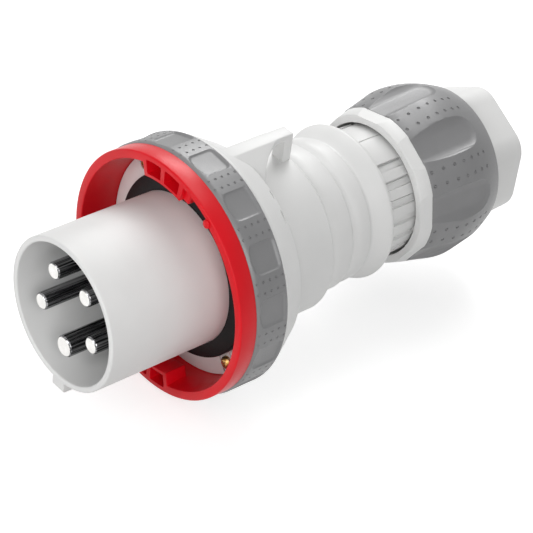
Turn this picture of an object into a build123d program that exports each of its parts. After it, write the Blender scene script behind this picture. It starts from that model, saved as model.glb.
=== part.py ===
from build123d import *
import os
from math import cos, pi, radians, sin

# Industrial pin and sleeve plug, three poles, neutral and earth, watertight.
# +X runs along the plug from the sleeve's mouth (x = 0) to the cable end, +Z is up.
# Angles about the axis start at +Y and turn towards +Z. Millimetres.

# Clearances
fit_gap = 0.1  # radial, between pieces that are assembled once
running_gap = 0.3  # between pieces that move past each other
press_gap = 0.05  # radial, pins and screws in their holes
overrun = 1.0  # how far a cut passes the face it opens, and a rib sinks into its wall

# Contact pins, each with a box terminal
pin_circle_r = 18.4
pin_r = 4.0
earth_pin_r = 5.0
pin_tip_x = 2.5
pin_tip_chamfer = 0.8
pin_seat_step = 0.6  # the seat in the carrier is this much larger in radius
terminal_width = 11.0
terminal_length = 20.0
wire_window = 6.8
wire_window_depth = 14.0
pin_names = ["pin_earth", "pin_neutral", "pin_l3", "pin_l2", "pin_l1"]
pin_pitch = 360 / len(pin_names)
earth_angle = -90.0

# Sleeve with its key rib and inner flange
sleeve_r = 35.0
sleeve_wall = 2.8
sleeve_lip = 0.9
cavity_depth = 62.0
carrier_step = 0.8  # shoulder that stops the carrier
flange_setback = 6.0  # behind the bottom of the cavity
flange_t = 3.2
flange_width = 16.5
key_width = 8.0
key_height = 6.0
key_start = 1.0
key_length = 59.0
key_nose = 1.0
key_notch_x = 6.5
key_notch_length = 3.0
key_notch_depth = 3.0
key_rear_drop = 0.5

# Inner flange screws
screw_inset = 5.0  # from the flange's edge
screw_count = 4
screw_angle = 45.0
screw_r = 1.75
screw_head_r = 3.1
screw_head_t = 2.2
screw_length = 11.0
screw_end_room = 1.0
pad_half_angle = 9.0
pad_groove = 0.5

# Gasket on the inner flange
gasket_width = 7.5
gasket_t = 3.7

# Pin carrier and terminal housing
carrier_length = 22.0
housing_drop = 2.0  # from the carrier's radius
housing_length = 18.0
housing_slot = 6.0
terminal_screw_r = 2.2
terminal_screw_length = 6.5
terminal_screw_set = 12.0  # from the rear face of the carrier
carrier_screw_circle_r = 24.0
carrier_screw_r = 1.6
carrier_screw_head_r = 3.0
carrier_screw_head_t = 2.0
carrier_screw_grip = 9.0
carrier_screw_angles = [90.0, 234.0, 306.0]

# Bayonet ring
ring_width = 25.7
ring_seat_wall = 5.5  # outside the inner flange
ring_wall = 4.2
ring_edge = 0.7
ring_red_width = 8.6
ring_lip = 1.9
ring_lip_t = 4.5
ring_core_drop = 1.4
block_height = 6.1
block_bite = 1.8  # the cells reach this far into the ring's wall
block_angle = 73.0
block_span = 29.0
block_nose_span = 4.0
block_nose_back = 2.0
block_length = 11.0
block_wall = 2.2
block_cells = 2
block_cell_depth = 7.6
nub_angle = 121.5
nub_r = 1.6
nub_stand = 0.7
nub_root = 2.0
stop_height = 3.5
stop_angle = 20.0
stop_peg_span = 6.0
stop_gap_angle = 0.5
stop_depth = 2.2
ring_turn = 45.0

# Grip on the bayonet ring
grip_stand = 0.8
grip_bevel = 1.6
grip_recesses = 15
grip_recess_width = 13.6
grip_recess_depth = 1.1
grip_recess_start = 2.6
grip_recess_end = 1.3
grip_recess_bow = 1.3

# Handle body, from its flange to the rim of its corrugations
body_flange_drop = 1.5  # from the grip's radius
body_flange_edge = 1.5
body_flange_taper = 7.4
body_rim_length = 14.2
body_rim_edge = 1.0
barrel_wall = 6.5
barrel_edge = 1.6
corrugated_length = 38.0
corrugations = [  # places before the body's end, and depths below the barrel
    (37.1, 5.9),
    (31.9, 4.2),
    (23.9, 4.5),
    (22.3, 6.7),
    (18.1, 5.2),
    (12.5, 5.6),
    (10.9, 6.7),
    (5.5, 4.1),
]
body_length = 81.5
body_end_stand = 6.0  # past the spigot
body_end_edge = 1.6
chamber_gap = 2.0
chamber_length = 32.0
spigot_bore_length = 46.0

# Body seal, a flat ring between the inner flange and the body
seal_width = 8.6
seal_t = 1.2

# Lanyard eye, with places before the rear of its post and heights above the barrel
eye_start = 4.0  # behind the flange's face
eye_setback = 1.5  # before the barrel's end
eye_height = 13.4
eye_wall = 2.7
eye_base_half = 18.5
eye_tip_half = 3.4
eye_shoulder = 26.5
eye_bend = 17.4
eye_bend_half = 7.6
eye_neck = 9.5
eye_post = 4.8
eye_arch = 23.0
eye_arch_bend = 19.4
eye_arch_bend_height = 7.5
eye_arch_top = 12.0

# Splined spigot with the gland's male thread
spigot_r = 31.0
spigot_wall = 4.0
spigot_length = 38.5
spline_count = 22
spline_depth = 1.4
spline_channel_angle = 7.6
spline_length = 19.0
spline_channels = 9  # each side of the lowest one
spline_groove = 0.6
thread_drop = 0.8

# Cable seal
cable_seal_length = 16.0
cable_seal_flange = 3.0
cable_seal_lip = 2.5
cable_bore_r = 14.0

# Gland nut
nut_overlap = 1.9  # past the splines
nut_ring_length = 6.4
nut_ring_wall = 3.5
nut_ring_flare = 1.7
nut_lobes = 8
nut_lobe_angle = 123.0  # middle of one finger recess
nut_flat_drop = 0.65
nut_mouth_gap = 1.3
nut_mouth_length = 14.4
nut_wall = 4.0
nut_core_tail = 6.0
nut_cone_step = 1.9
nut_cone_room = 0.8
nut_exit_step = 2.6
nut_exit_r = 18.0
nut_exit_length = 9.0
nose_drop = 4.1  # of its flats from the nut's core
nose_taper = 1.1
nose_corner_r = 13.0
nose_angle = 90.0  # of one of its corners
nose_edge = 2.2

# Grip on the gland nut
nut_grip_profile = [  # places behind the nut's front, and heights above its core
    (14.4, 4.7),
    (24.4, 7.1),
    (34.4, 6.4),
    (42.9, 4.1),
    (50.5, 0.9),
]
flute_width = 14.2
flute_floor = 3.4  # above the nut's core
flute_length = 40.4
flute_slope_angle = 35.0

# Washer and clamp behind the seal
nut_travel = 11.5
washer_t = 2.0
washer_step = 1.0
clamp_base_t = 2.4
clamp_length = 20.0
clamp_tail = 4.2
clamp_step = 1.5
clamp_slots = 8
clamp_slot = 2.0

# Worked out from the sizes above
sleeve_bore_r = sleeve_r - sleeve_wall
carrier_r = sleeve_bore_r + carrier_step
flange_x = cavity_depth + flange_setback
flange_r = sleeve_r + flange_width
flange_rear = flange_x + flange_t
screw_circle_r = flange_r - screw_inset
screw_hole_depth = screw_length - flange_t - seal_t + screw_end_room
key_r = sleeve_r + key_height
gasket_r = sleeve_r + gasket_width
seal_r = sleeve_r + seal_width
tube_end = cavity_depth + carrier_length
terminal_screw_x = tube_end + terminal_screw_set
pocket_width = terminal_width + 2 * fit_gap
housing_r = carrier_r - housing_drop
housing_end = tube_end + housing_length
ring_seat_r = flange_r + running_gap
ring_r = ring_seat_r + ring_seat_wall
ring_bore_r = ring_r - ring_wall
ring_lip_r = ring_seat_r - ring_lip
ring_core_r = ring_r - ring_core_drop
ring_end_x = flange_rear + ring_lip_t
ring_x = ring_end_x - ring_width
block_r = ring_bore_r - block_height
stop_r = ring_lip_r + stop_height
stop_slot_span = ring_turn + stop_peg_span + 2 * stop_gap_angle
grip_x = ring_x + ring_red_width
grip_r = ring_r + grip_stand
body_x = ring_end_x + running_gap
body_face = flange_rear + seal_t
body_boss_r = ring_lip_r - running_gap
body_flange_r = grip_r - body_flange_drop
body_rim_r = body_flange_r - body_flange_taper
body_rim_x = body_x + body_rim_length
chamber_r = housing_r + chamber_gap
barrel_r = chamber_r + barrel_wall
body_end_x = body_x + body_length
barrel_end_x = body_end_x - corrugated_length
body_end_r = spigot_r + body_end_stand
thread_x = body_end_x + spline_length
thread_r = spigot_r - thread_drop
spigot_bore_r = spigot_r - spigot_wall
spigot_end = body_end_x + spigot_length
spline_pitch = 360 / spline_count
cable_seal_end = spigot_end + cable_seal_flange
cable_seal_flange_r = spigot_bore_r + cable_seal_lip
washer_x = cable_seal_end + nut_travel + running_gap
washer_bore_r = cable_bore_r + washer_step
clamp_x = washer_x + washer_t
clamp_r = thread_r
clamp_bore_r = cable_bore_r + clamp_step
clamp_end = clamp_x + clamp_length
nut_x = thread_x - nut_overlap
nut_ring_end = nut_x + nut_ring_length
nut_bore_r = thread_r + running_gap
nut_core_r = nut_bore_r + nut_wall
nut_mouth_r = spigot_r + nut_mouth_gap
nut_front_r = nut_mouth_r + nut_ring_wall
nut_ring_r = nut_front_r + nut_ring_flare
nut_bore_end_x = clamp_x + clamp_base_t + nut_cone_room
nut_core_end_x = nut_bore_end_x + nut_core_tail
nut_cone_r = nut_bore_r - nut_cone_step
nut_cone_end_x = clamp_end + clamp_tail
nut_cone_end_r = nut_exit_r + nut_exit_step
nut_end_x = nut_cone_end_x + nut_exit_length
nose_flat = nut_core_r - nose_drop
nut_grip_end_x = nut_x + nut_grip_profile[-1][0]


def ring_point(radius, angle):
    """A point on a circle about the plug's axis, in a sketch across the axis."""
    return radius * cos(radians(angle)), radius * sin(radians(angle))


def radial_plane(x, radius, angle):
    """A plane that faces outwards from the axis, its own x along the plug."""
    y, z = ring_point(radius, angle)
    return Plane(origin=(x, y, z), x_dir=(1, 0, 0), z_dir=(0, y, z))


def sector(inner_r, outer_r, start, span):
    """Face of a ring's sector, to be added to a sketch across the axis."""
    with BuildSketch() as face:
        with BuildLine():
            CenterArc((0, 0), inner_r, start, span)
            CenterArc((0, 0), outer_r, start, span)
            for side in (start, start + span):
                Line(ring_point(inner_r, side), ring_point(outer_r, side))
        make_face()
    return face.sketch_local


def hexagon(flat, corner, gap=0.0):
    """Hexagon with rounded corners, grown by a gap, to be added to a sketch across the axis."""
    with BuildSketch() as face:
        RegularPolygon(flat + gap, 6, major_radius=False, rotation=nose_angle)
        fillet(face.vertices(), corner)
    return face.sketch_local


def lobed(radius):
    """Circle with flats for the finger recesses, to be added to a sketch across the axis."""
    with BuildSketch() as face:
        Circle(radius)
        RegularPolygon(
            radius - nut_flat_drop,
            nut_lobes,
            major_radius=False,
            rotation=nut_lobe_angle + 180 / nut_lobes,
            mode=Mode.INTERSECT,
        )
    return face.sketch_local


def cone_r(x):
    """Radius of the nut's inner cone."""
    share = (x - nut_bore_end_x) / (nut_cone_end_x - nut_bore_end_x)
    return nut_cone_r + share * (nut_cone_end_r - nut_cone_r)


def lanyard_eye():
    """Tent-shaped hood that narrows towards its post, with an arched way through under it."""
    front = body_x + eye_start
    rear = barrel_end_x - eye_setback
    floor_r = barrel_r - overrun
    top_r = barrel_r + eye_height
    arch_top_r = top_r - eye_wall
    slope = top_r - floor_r
    with BuildPart() as eye:
        with BuildSketch(Plane.YZ.offset(front)):
            with BuildLine():
                Polyline(
                    (-eye_tip_half, top_r),
                    (eye_tip_half, top_r),
                    (eye_tip_half + slope, floor_r),
                    (-eye_tip_half - slope, floor_r),
                    close=True,
                )
            make_face()
        extrude(amount=rear - front)
        with BuildSketch(Plane.XY):
            with BuildLine():
                for side in (1, -1):
                    shoulder = (rear - eye_shoulder, side * eye_base_half)
                    neck = (rear - eye_neck, side * eye_tip_half)
                    Line((front, side * eye_base_half), shoulder)
                    ThreePointArc(shoulder, (rear - eye_bend, side * eye_bend_half), neck)
                    Line(neck, (rear, side * eye_tip_half))
                Line((front, eye_base_half), (front, -eye_base_half))
                Line((rear, eye_tip_half), (rear, -eye_tip_half))
            make_face()
        extrude(amount=top_r + overrun, mode=Mode.INTERSECT)
        with BuildSketch(Plane.XZ):
            with BuildLine():
                foot = (rear - eye_arch, barrel_r)
                spring = (rear - eye_arch_top, arch_top_r)
                Polyline(spring, (rear - eye_post, arch_top_r), (rear - eye_post, 0), (rear - eye_arch, 0), foot)
                ThreePointArc(foot, (rear - eye_arch_bend, barrel_r + eye_arch_bend_height), spring)
            make_face()
        extrude(amount=2 * eye_base_half, both=True, mode=Mode.SUBTRACT)
        with BuildSketch(Plane.YZ):
            Circle(floor_r)
        extrude(amount=rear + overrun, mode=Mode.SUBTRACT)
    return eye.part


def seat_radius(angle):
    return earth_pin_r if angle == earth_angle else pin_r


pin_angles = [earth_angle + pin_pitch * i for i in range(len(pin_names))]

os.makedirs("parts", exist_ok=True)

# Sleeve: shroud, inner flange and rear tube in one moulding
with BuildPart() as sleeve:
    with BuildSketch(Plane.XY):
        with BuildLine():
            Polyline(
                (sleeve_lip, sleeve_bore_r),
                (0, sleeve_bore_r + sleeve_lip),
                (0, sleeve_r - sleeve_lip),
                (sleeve_lip, sleeve_r),
                (flange_x, sleeve_r),
                (flange_x, flange_r),
                (flange_rear, flange_r),
                (flange_rear, sleeve_r),
                (tube_end, sleeve_r),
                (tube_end, carrier_r + fit_gap),
                (cavity_depth, carrier_r + fit_gap),
                (cavity_depth, sleeve_bore_r),
                close=True,
            )
        make_face()
    revolve(axis=Axis.X)
    with BuildSketch(Plane.XZ):
        with BuildLine():
            notch_end = key_notch_x + key_notch_length
            Polyline(
                (key_start, -sleeve_r + overrun),
                (key_start, -key_r + key_nose),
                (key_start + key_nose, -key_r),
                (key_notch_x, -key_r),
                (key_notch_x, -key_r + key_notch_depth),
                (notch_end, -key_r + key_notch_depth),
                (notch_end + key_nose, -key_r + key_rear_drop),
                (key_start + key_length, -key_r + key_rear_drop),
                (key_start + key_length, -sleeve_r + overrun),
                close=True,
            )
        make_face()
    extrude(amount=key_width / 2, both=True)
    with BuildSketch(Plane.YZ.offset(flange_x)):
        with PolarLocations(screw_circle_r, screw_count, start_angle=screw_angle):
            Circle(screw_r + fit_gap)
    extrude(amount=flange_t, mode=Mode.SUBTRACT)
    with BuildSketch(Plane.YZ.offset(flange_x)):
        for side in (-pad_half_angle, pad_half_angle):
            with PolarLocations(flange_r, screw_count, start_angle=screw_angle + side):
                Rectangle(2 * (flange_r - gasket_r), pad_groove)
    extrude(amount=pad_groove, mode=Mode.SUBTRACT)

# Flat gasket on the inner flange, round the sleeve
with BuildPart() as flange_gasket:
    with BuildSketch(Plane.YZ.offset(flange_x - gasket_t)):
        Circle(gasket_r)
        Circle(sleeve_r + fit_gap, mode=Mode.SUBTRACT)
    extrude(amount=gasket_t)

# Four screws through the inner flange into the body
with BuildPart() as flange_screws:
    with BuildSketch(Plane.YZ.offset(flange_x)):
        with PolarLocations(screw_circle_r, screw_count, start_angle=screw_angle):
            Circle(screw_head_r)
    extrude(amount=-screw_head_t)
    with BuildSketch(Plane.YZ.offset(flange_x)):
        with PolarLocations(screw_circle_r, screw_count, start_angle=screw_angle):
            Circle(screw_r)
    extrude(amount=screw_length)

# Pin carrier: stops against the sleeve's shoulder
with BuildPart() as pin_carrier:
    with BuildSketch(Plane.YZ.offset(cavity_depth)):
        Circle(carrier_r)
    extrude(amount=carrier_length)
    with BuildSketch(Plane.YZ.offset(cavity_depth)):
        for angle in pin_angles:
            with Locations(ring_point(pin_circle_r, angle)):
                Circle(seat_radius(angle) + pin_seat_step + press_gap)
    extrude(amount=carrier_length, mode=Mode.SUBTRACT)
    with BuildSketch(Plane.YZ.offset(tube_end)):
        for angle in carrier_screw_angles:
            with Locations(ring_point(carrier_screw_circle_r, angle)):
                Circle(carrier_screw_r + press_gap)
    extrude(amount=-carrier_screw_grip - screw_end_room, mode=Mode.SUBTRACT)

# Five turned contact pins, each with its terminal barrel
pins = {}
for name, angle in zip(pin_names, pin_angles):
    radius = seat_radius(angle)
    y, z = ring_point(pin_circle_r, angle)
    with BuildPart() as pin:
        with BuildSketch(Plane(origin=(0, y, z))):
            with BuildLine():
                Polyline(
                    (pin_tip_x, 0),
                    (pin_tip_x, radius - pin_tip_chamfer),
                    (pin_tip_x + pin_tip_chamfer, radius),
                    (cavity_depth, radius),
                    (cavity_depth, radius + pin_seat_step),
                    (tube_end, radius + pin_seat_step),
                    (tube_end, 0),
                    close=True,
                )
            make_face()
        revolve(axis=Axis((0, y, z), (1, 0, 0)))
        with BuildSketch(Plane.YZ.offset(tube_end)):
            with Locations((y, z)):
                Rectangle(terminal_width, terminal_width, rotation=angle)
        extrude(amount=terminal_length)
        with BuildSketch(Plane.YZ.offset(tube_end + terminal_length)):
            with Locations((y, z)):
                Rectangle(wire_window, wire_window, rotation=angle)
        extrude(amount=-wire_window_depth, mode=Mode.SUBTRACT)
        with BuildSketch(radial_plane(terminal_screw_x, pin_circle_r, angle)):
            Circle(terminal_screw_r + press_gap)
        extrude(amount=terminal_width, mode=Mode.SUBTRACT)
    pins[name] = pin

# Insulator behind the carrier, with a pocket for each terminal, open towards its screw
with BuildPart() as terminal_housing:
    with BuildSketch(Plane.YZ.offset(tube_end)):
        Circle(housing_r)
        for angle in pin_angles:
            with Locations(ring_point(pin_circle_r, angle)):
                Rectangle(pocket_width, pocket_width, rotation=angle, mode=Mode.SUBTRACT)
        for angle in carrier_screw_angles:
            with Locations(ring_point(carrier_screw_circle_r, angle)):
                Circle(carrier_screw_r + press_gap, mode=Mode.SUBTRACT)
    extrude(amount=housing_length)
    for angle in pin_angles:
        with BuildSketch(radial_plane(housing_end, pin_circle_r, angle)):
            Rectangle(2 * (housing_end - terminal_screw_x) + housing_slot, housing_slot)
        extrude(amount=housing_r, mode=Mode.SUBTRACT)

# One clamping screw for each terminal
with BuildPart() as terminal_screws:
    for angle in pin_angles:
        with BuildSketch(radial_plane(terminal_screw_x, pin_circle_r + wire_window / 2, angle)):
            Circle(terminal_screw_r)
        extrude(amount=terminal_screw_length)

# Screws that hold the terminal housing on the carrier
with BuildPart() as carrier_screws:
    for angle in carrier_screw_angles:
        with BuildSketch(Plane.YZ.offset(tube_end - carrier_screw_grip)):
            with Locations(ring_point(carrier_screw_circle_r, angle)):
                Circle(carrier_screw_r)
        extrude(amount=carrier_screw_grip + housing_length)
        with BuildSketch(Plane.YZ.offset(housing_end)):
            with Locations(ring_point(carrier_screw_circle_r, angle)):
                Circle(carrier_screw_head_r)
        extrude(amount=carrier_screw_head_t)

# Flat seal between the inner flange and the body
with BuildPart() as body_seal:
    with BuildSketch(Plane.YZ.offset(flange_rear)):
        Circle(seal_r)
        Circle(sleeve_r + fit_gap, mode=Mode.SUBTRACT)
    extrude(amount=seal_t)

# Bayonet ring with two cored blocks, a mark nub and a lip behind the inner flange
with BuildPart() as bayonet_ring:
    with BuildSketch(Plane.XY):
        with BuildLine():
            Polyline(
                (ring_x, ring_bore_r + ring_edge / 2),
                (ring_x, ring_r - ring_edge),
                (ring_x + ring_edge, ring_r),
                (grip_x, ring_r),
                (grip_x, ring_core_r),
                (ring_end_x, ring_core_r),
                (ring_end_x, ring_lip_r),
                (flange_rear + running_gap, ring_lip_r),
                (flange_rear + running_gap, ring_seat_r),
                (flange_x - overrun, ring_seat_r),
                (ring_x + ring_edge / 2, ring_bore_r),
                close=True,
            )
        make_face()
    revolve(axis=Axis.X)
    for turn in (0, 180):
        start = block_angle + turn
        with BuildSketch(Plane.YZ.offset(ring_x)):
            add(sector(block_r, ring_bore_r + overrun, start, block_span))
        extrude(amount=block_length)
        with BuildSketch(Plane.YZ.offset(ring_x + block_nose_back)):
            add(sector(block_r, ring_bore_r + overrun, start, block_span + block_nose_span))
        extrude(amount=block_length - block_nose_back)
        wall_angle = block_wall / block_r * 180 / pi
        cell_span = (block_span - wall_angle) / block_cells - wall_angle
        with BuildSketch(Plane.YZ.offset(ring_x)):
            for i in range(block_cells):
                cell_start = start + wall_angle + i * (cell_span + wall_angle)
                add(sector(block_r + block_wall, ring_bore_r + block_bite, cell_start, cell_span))
        extrude(amount=block_cell_depth, mode=Mode.SUBTRACT)
    with BuildSketch(Plane.YZ.offset(ring_x - nub_stand)):
        with Locations(ring_point(ring_bore_r + nub_r / 2, nub_angle)):
            Circle(nub_r)
    extrude(amount=nub_stand + nub_root)
    with BuildSketch(Plane.YZ.offset(ring_end_x)):
        add(sector(ring_lip_r - overrun, stop_r, stop_angle - stop_gap_angle, stop_slot_span))
    extrude(amount=-stop_depth, mode=Mode.SUBTRACT)

# Soft grip moulded on the bayonet ring
with BuildPart() as ring_grip:
    with BuildSketch(Plane.XY):
        with BuildLine():
            Polyline(
                (grip_x, ring_core_r + fit_gap),
                (grip_x, ring_r),
                (grip_x + grip_bevel, grip_r),
                (ring_end_x - grip_bevel / 2, grip_r),
                (ring_end_x, grip_r - grip_bevel / 2),
                (ring_end_x, ring_core_r + fit_gap),
                close=True,
            )
        make_face()
    revolve(axis=Axis.X)
    recess_start = grip_x + grip_recess_start
    recess_end = ring_end_x - grip_recess_end
    for i in range(grip_recesses):
        recess_angle = i * 360 / grip_recesses
        with BuildSketch(radial_plane(0, grip_r - grip_recess_depth, recess_angle)):
            with BuildLine():
                half = grip_recess_width / 2
                Polyline(
                    (recess_start, half),
                    (recess_end, half),
                    (recess_end, -half),
                    (recess_start, -half),
                )
                ThreePointArc(
                    (recess_start, -half),
                    (recess_start - grip_recess_bow, 0),
                    (recess_start, half),
                )
            make_face()
        extrude(amount=grip_r, mode=Mode.SUBTRACT)

# Handle body in one moulding
with BuildPart() as body:
    with BuildSketch(Plane.XY):
        with BuildLine():
            Polyline(
                (body_face, sleeve_r + fit_gap),
                (body_face, body_boss_r),
                (body_x, body_boss_r),
                (body_x, body_flange_r),
                (body_x + body_flange_edge, body_flange_r),
                (body_rim_x, body_rim_r),
                (body_rim_x + body_rim_edge, body_rim_r - body_rim_edge),
                (body_rim_x + body_rim_edge, barrel_r),
                (barrel_end_x - barrel_edge, barrel_r),
                (barrel_end_x, barrel_r - barrel_edge),
                *[(body_end_x - place, barrel_r - depth) for place, depth in corrugations],
                (body_end_x - body_end_edge, body_end_r),
                (body_end_x, body_end_r - body_end_edge / 2),
                (body_end_x, spigot_r),
                (thread_x, spigot_r),
                (thread_x, thread_r),
                (spigot_end, thread_r),
                (spigot_end, spigot_bore_r),
                (spigot_end - spigot_bore_length, spigot_bore_r),
                (tube_end + chamber_length, chamber_r),
                (tube_end, chamber_r),
                (tube_end, sleeve_r + fit_gap),
                close=True,
            )
        make_face()
    revolve(axis=Axis.X)
    # screw holes in the front face
    with BuildSketch(Plane.YZ.offset(body_face)):
        with PolarLocations(screw_circle_r, screw_count, start_angle=screw_angle):
            Circle(screw_r + press_gap)
    extrude(amount=screw_hole_depth, mode=Mode.SUBTRACT)
    # peg that ends the bayonet ring's turn
    with BuildSketch(Plane.YZ.offset(body_x)):
        add(sector(body_boss_r - overrun, stop_r - running_gap, stop_angle, stop_peg_span))
    extrude(amount=-stop_depth + running_gap)
    # channels between the splines, and the thin groove on top
    with BuildSketch(Plane.YZ.offset(body_end_x)):
        for i in range(-spline_channels, spline_channels + 1):
            middle = earth_angle + i * spline_pitch
            add(sector(spigot_r - spline_depth, spigot_r + overrun, middle - spline_channel_angle / 2, spline_channel_angle))
        with Locations(ring_point(spigot_r, -earth_angle)):
            Rectangle(spline_groove, spline_depth)
    extrude(amount=spline_length, mode=Mode.SUBTRACT)
    add(lanyard_eye())

# Rubber seal in the mouth of the spigot
with BuildPart() as cable_seal:
    with BuildSketch(Plane.XY):
        with BuildLine():
            Polyline(
                (spigot_end - cable_seal_length, cable_bore_r),
                (spigot_end - cable_seal_length, spigot_bore_r - fit_gap),
                (spigot_end, spigot_bore_r - fit_gap),
                (spigot_end, cable_seal_flange_r),
                (cable_seal_end, cable_seal_flange_r),
                (cable_seal_end, cable_bore_r),
                close=True,
            )
        make_face()
    revolve(axis=Axis.X)

# Slip washer behind the seal
with BuildPart() as thrust_washer:
    with BuildSketch(Plane.YZ.offset(washer_x)):
        Circle(clamp_r)
        Circle(washer_bore_r, mode=Mode.SUBTRACT)
    extrude(amount=washer_t)

# Fingered clamp that the nut's cone closes
with BuildPart() as cable_clamp:
    with BuildSketch(Plane.XY):
        with BuildLine():
            Polyline(
                (clamp_x, clamp_bore_r),
                (clamp_x, clamp_r),
                (clamp_x + clamp_base_t, clamp_r),
                (clamp_x + clamp_base_t, cone_r(clamp_x + clamp_base_t) - running_gap),
                (clamp_end, cone_r(clamp_end) - running_gap),
                (clamp_end, clamp_bore_r),
                close=True,
            )
        make_face()
    revolve(axis=Axis.X)
    with BuildSketch(Plane.YZ.offset(clamp_x + clamp_base_t)):
        with PolarLocations(clamp_r, clamp_slots):
            Rectangle(2 * (clamp_r - clamp_bore_r + overrun), clamp_slot)
    extrude(amount=clamp_length, mode=Mode.SUBTRACT)

# Gland nut: lobed front ring, core under the grip, hexagonal nose
with BuildPart() as gland_nut:
    with BuildSketch(Plane.YZ.offset(nut_x)):
        add(lobed(nut_front_r))
    with BuildSketch(Plane.YZ.offset(nut_ring_end)):
        add(lobed(nut_ring_r))
    loft(ruled=True)
    with BuildSketch(Plane.YZ.offset(nut_ring_end)):
        Circle(nut_core_r)
    extrude(amount=nut_core_end_x - nut_ring_end)
    with BuildSketch(Plane.YZ.offset(nut_core_end_x)):
        add(hexagon(nose_flat, nose_corner_r))
    with BuildSketch(Plane.YZ.offset(nut_end_x)):
        add(hexagon(nose_flat - nose_taper, nose_corner_r))
    loft(ruled=True)
    chamfer(gland_nut.faces().sort_by(Axis.X)[-1].edges(), nose_edge)
    with BuildSketch(Plane.XY):
        with BuildLine():
            Polyline(
                (nut_x, 0),
                (nut_x, nut_mouth_r),
                (nut_x + nut_mouth_length, nut_mouth_r),
                (nut_x + nut_mouth_length, nut_bore_r),
                (nut_bore_end_x, nut_bore_r),
                (nut_bore_end_x, nut_cone_r),
                (nut_cone_end_x, nut_cone_end_r),
                (nut_cone_end_x, nut_exit_r),
                (nut_end_x, nut_exit_r),
                (nut_end_x, 0),
                close=True,
            )
        make_face()
    revolve(axis=Axis.X, mode=Mode.SUBTRACT)

# Soft grip moulded on the gland nut
with BuildPart() as nut_grip:
    with BuildSketch(Plane.XY):
        with BuildLine():
            Polyline(
                (nut_ring_end, 0),
                (nut_ring_end, nut_ring_r),
                *[(nut_x + place, nut_core_r + height) for place, height in nut_grip_profile],
                (nut_grip_end_x, 0),
                close=True,
            )
        make_face()
    revolve(axis=Axis.X)
    with BuildSketch(Plane.YZ.offset(nut_ring_end)):
        Circle(nut_core_r + fit_gap)
    extrude(amount=nut_core_end_x - nut_ring_end, mode=Mode.SUBTRACT)
    with BuildSketch(Plane.YZ.offset(nut_core_end_x)):
        add(hexagon(nose_flat, nose_corner_r, fit_gap))
    extrude(amount=nut_grip_end_x - nut_core_end_x, mode=Mode.SUBTRACT)
    for i in range(nut_lobes):
        lobe_angle = nut_lobe_angle + i * 360 / nut_lobes
        with BuildSketch(radial_plane(0, nut_core_r + flute_floor, lobe_angle)):
            with BuildLine():
                half = flute_width / 2
                flute_end = nut_x + flute_length
                Polyline(
                    (flute_end - half, half),
                    (nut_ring_end - overrun, half),
                    (nut_ring_end - overrun, -half),
                    (flute_end - half, -half),
                )
                ThreePointArc((flute_end - half, -half), (flute_end, 0), (flute_end - half, half))
            make_face()
        extrude(amount=nut_wall, taper=-flute_slope_angle, mode=Mode.SUBTRACT)

parts = {
    "sleeve": sleeve,
    "flange_gasket": flange_gasket,
    "flange_screws": flange_screws,
    "pin_carrier": pin_carrier,
    **pins,
    "terminal_housing": terminal_housing,
    "terminal_screws": terminal_screws,
    "carrier_screws": carrier_screws,
    "body_seal": body_seal,
    "bayonet_ring": bayonet_ring,
    "ring_grip": ring_grip,
    "body": body,
    "cable_seal": cable_seal,
    "thrust_washer": thrust_washer,
    "cable_clamp": cable_clamp,
    "gland_nut": gland_nut,
    "nut_grip": nut_grip,
}
for name, piece in parts.items():
    piece.part.label = name
    export_step(piece.part, f"parts/{name}.step")
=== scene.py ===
import math

import bmesh
import bpy
from mathutils import Matrix, Vector


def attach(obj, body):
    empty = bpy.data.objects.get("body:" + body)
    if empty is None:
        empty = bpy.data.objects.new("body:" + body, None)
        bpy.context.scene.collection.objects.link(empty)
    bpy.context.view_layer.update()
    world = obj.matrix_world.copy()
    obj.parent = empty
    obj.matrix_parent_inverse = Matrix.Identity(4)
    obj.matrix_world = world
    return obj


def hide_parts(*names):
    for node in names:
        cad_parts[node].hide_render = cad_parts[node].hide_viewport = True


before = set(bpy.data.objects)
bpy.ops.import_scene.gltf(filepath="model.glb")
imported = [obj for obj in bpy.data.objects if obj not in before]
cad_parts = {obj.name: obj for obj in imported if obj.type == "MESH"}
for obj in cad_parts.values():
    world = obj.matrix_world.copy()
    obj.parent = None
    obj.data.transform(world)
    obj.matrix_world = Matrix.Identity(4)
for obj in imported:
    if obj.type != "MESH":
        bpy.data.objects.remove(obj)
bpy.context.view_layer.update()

# Industrial pin and sleeve plug. +X runs from the sleeve's mouth to the cable end, +Z is up.
# Sizes in the dictionaries are millimetres and degrees. Angles about the plug start at +Y and turn towards +Z.


def mm(value):
    return value / 1000


def onlyThis(piece):
    bpy.ops.object.select_all(action="DESELECT")
    piece.select_set(True)
    bpy.context.view_layer.objects.active = piece


def edit(piece):
    onlyThis(piece)
    bpy.ops.object.mode_set(mode="EDIT")
    bpy.ops.mesh.select_all(action="SELECT")


def leaveEdit():
    bpy.ops.object.mode_set(mode="OBJECT")


# a single vertex, extruded from point to point; the piece is left in edit mode
def drawOutline(name, points):
    bpy.ops.object.select_all(action="DESELECT")
    bpy.ops.mesh.primitive_plane_add(size=mm(1), location=[mm(v) for v in points[0]])
    piece = bpy.context.object
    piece.name = piece.data.name = name
    bpy.ops.object.transform_apply(location=True, rotation=True, scale=True)
    edit(piece)
    bpy.ops.mesh.select_mode(type="VERT")
    bpy.ops.mesh.merge(type="CENTER")
    for here, there in zip(points, points[1:]):
        step = [mm(b - a) for a, b in zip(here, there)]
        bpy.ops.mesh.extrude_vertices_move(TRANSFORM_OT_translate={"value": step})
    bpy.ops.mesh.select_all(action="SELECT")
    bpy.ops.mesh.remove_doubles(threshold=mm(0.005))
    return piece


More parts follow.
